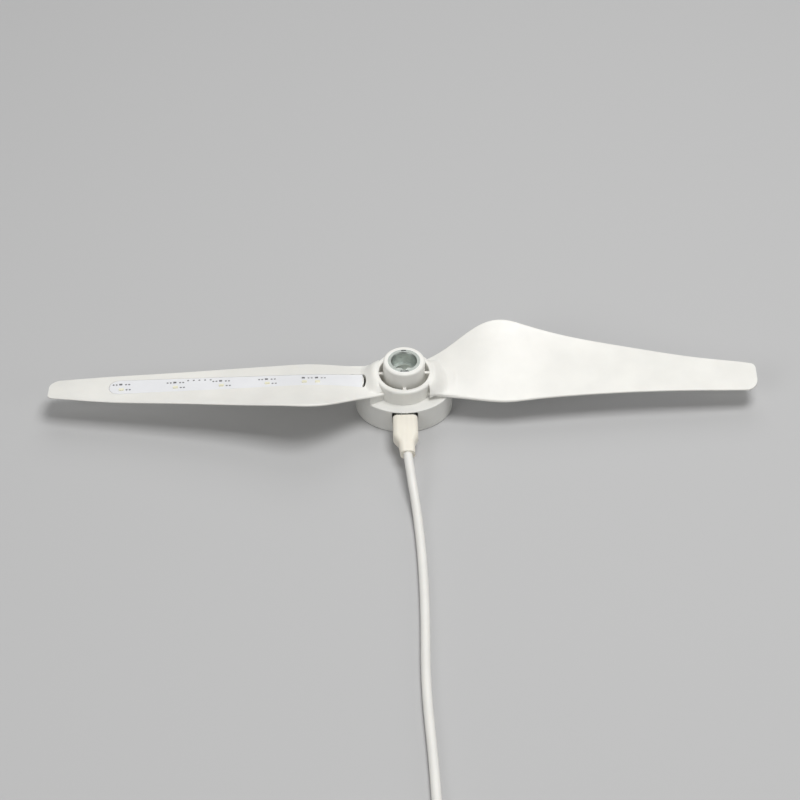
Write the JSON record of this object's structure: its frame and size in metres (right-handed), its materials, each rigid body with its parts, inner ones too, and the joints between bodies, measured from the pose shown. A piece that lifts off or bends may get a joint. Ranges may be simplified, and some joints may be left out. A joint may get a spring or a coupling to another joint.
{
  "type": "light-up propeller",
  "caption": "Two-blade white propeller with inlaid light boards, threaded hub and oval rechargeable battery pod, with a coiled charging lead plugged into the pod.",
  "frame": {"origin": "middle of the battery pod's flat bottom, on the hub's axis", "axes": "+Z along the hub's axis towards the threaded hole's mouth, +X along one blade, charging port facing -Y"},
  "size_m": [0.2388, 0.2353, 0.0204],
  "materials": {
    "white_moulding": "moulded nylon, satin",
    "pod_plastic": "moulded ABS, satin",
    "cover_plastic": "moulded ABS, satin",
    "aluminium": "turned",
    "white_board": "white solder mask",
    "light_package": "moulded light package",
    "resistor": "ceramic chip",
    "black_wire": "wire insulation",
    "screw_steel": "zinc plated",
    "cell_foil": "laminated pouch foil",
    "foam": "foam tape",
    "green_board": "green solder mask",
    "chip": "moulded epoxy",
    "connector_steel": "nickel plated",
    "socket_plastic": "moulded insulator",
    "switch_plastic": "moulded",
    "button_plastic": "moulded ABS, satin",
    "ivory_grip": "soft moulded vinyl",
    "cord_jacket": "vinyl jacket",
    "tie": "wrap tie",
    "white_insulator": "moulded insulator",
    "contact": "gold plated"
  },
  "bodies": {
    "body": {"base_cover": "cover_plastic", "battery_cell": "cell_foil", "battery_leads": "black_wire", "charge_chip": "chip", "charge_socket_shell": "connector_steel", "charge_socket_tongue": "socket_plastic", "control_board": "green_board", "cover_screws": "screw_steel", "foam_tape": "foam", "left_light_board": "white_board", "left_light_wires": "black_wire", "left_lights": "light_package", "left_resistors": "resistor", "light_controller": "chip", "pod_case": "pod_plastic", "pod_screws": "screw_steel", "propeller": "white_moulding", "right_light_board": "white_board", "right_light_wires": "black_wire", "right_lights": "light_package", "right_resistors": "resistor", "small_components": "resistor", "status_light": "light_package", "switch_body": "switch_plastic", "threaded_insert": "aluminium"},
    "button": {"power_button": "button_plastic", "switch_plunger": "socket_plastic"},
    "lead": {"micro_plug_shell": "connector_steel", "micro_plug_core": "socket_plastic", "micro_plug_grip": "ivory_grip", "charge_cord": "cord_jacket", "cord_tail": "cord_jacket", "cord_coil": "cord_jacket", "cord_tie": "tie", "usb_a_grip": "ivory_grip", "usb_a_shell": "connector_steel", "usb_a_core": "white_insulator", "usb_a_contacts": "contact"}
  },
  "joints": [
    {"name": "power_button_press", "type": "slide", "parent": "body", "child": "button", "axis": [0, 0, 1], "range_m": [0, 0.00035], "stiffness_N_per_m": 900, "springref_m": -0.0008},
    {"name": "lead_unplug", "type": "slide", "parent": "body", "child": "lead", "axis": [0, -1, 0], "range_m": [0, 0.006]}
  ]
}
